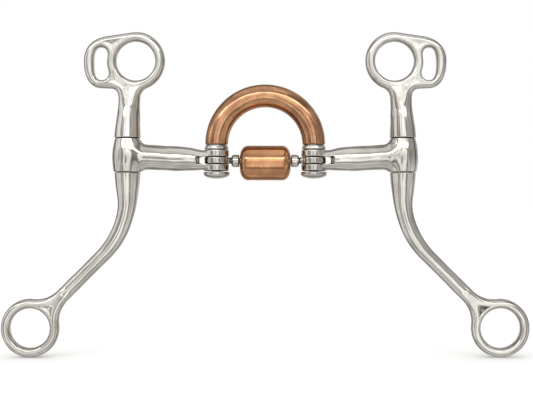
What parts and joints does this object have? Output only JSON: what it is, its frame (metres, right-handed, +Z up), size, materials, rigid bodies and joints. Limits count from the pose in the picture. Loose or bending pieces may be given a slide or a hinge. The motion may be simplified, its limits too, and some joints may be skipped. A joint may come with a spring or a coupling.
{
  "type": "curb bit",
  "caption": "Loose-cheek curb bit: hinged steel cannons, a copper half-round port and roller, and swivelling shanks with headstall, curb-strap and rein rings.",
  "frame": {"origin": "midway between the two hinge pins, at mid-height of the roller bar's eyes: the middle of the mouthpiece", "axes": "+X across the mouth to the right of the picture, +Y away from the viewer of the picture, +Z up the cheeks"},
  "size_m": [0.271, 0.0178, 0.1667],
  "materials": {
    "cheek_steel": "polished stainless steel",
    "shank_steel": "polished stainless steel",
    "cannon_steel": "polished stainless steel",
    "hinge_steel": "polished stainless steel",
    "pin_steel": "satin turned stainless steel",
    "port_copper": "polished copper, lightly tarnished",
    "roller_copper": "polished copper, lightly tarnished"
  },
  "bodies": {
    "port_unit": {"copper_port": "port_copper", "left_port_collar": "hinge_steel", "right_port_collar": "hinge_steel", "left_hinge_pin": "pin_steel", "right_hinge_pin": "pin_steel", "left_bar_eye": "hinge_steel", "right_bar_eye": "hinge_steel", "roller_axle": "pin_steel", "left_axle_collar": "hinge_steel", "right_axle_collar": "hinge_steel"},
    "roller": {"copper_roller": "roller_copper"},
    "left_cannon_unit": {"left_cannon": "cannon_steel"},
    "right_cannon_unit": {"right_cannon": "cannon_steel"},
    "left_shank_unit": {"left_upper_cheek": "cheek_steel", "left_swivel_spindle": "pin_steel", "left_lower_shank": "shank_steel"},
    "right_shank_unit": {"right_upper_cheek": "cheek_steel", "right_swivel_spindle": "pin_steel", "right_lower_shank": "shank_steel"}
  },
  "joints": [
    {"name": "left_cannon_hinge", "type": "hinge", "parent": "port_unit", "child": "left_cannon_unit", "pos_m": [-0.0249, 0, 0], "axis": [0, 0, 1], "range_deg": [-95, 95]},
    {"name": "right_cannon_hinge", "type": "hinge", "parent": "port_unit", "child": "right_cannon_unit", "pos_m": [0.0249, 0, 0], "axis": [0, 0, -1], "range_deg": [-95, 95]},
    {"name": "left_shank_swivel", "type": "hinge", "parent": "left_cannon_unit", "child": "left_shank_unit", "pos_m": [-0.0706, 0, 0], "axis": [0, 0, 1], "continuous": true},
    {"name": "right_shank_swivel", "type": "hinge", "parent": "right_cannon_unit", "child": "right_shank_unit", "pos_m": [0.0706, 0, 0], "axis": [0, 0, -1], "continuous": true},
    {"name": "roller_spin", "type": "hinge", "parent": "port_unit", "child": "roller", "pos_m": [0, 0, -0.0013], "axis": [1, 0, 0], "continuous": true}
  ]
}
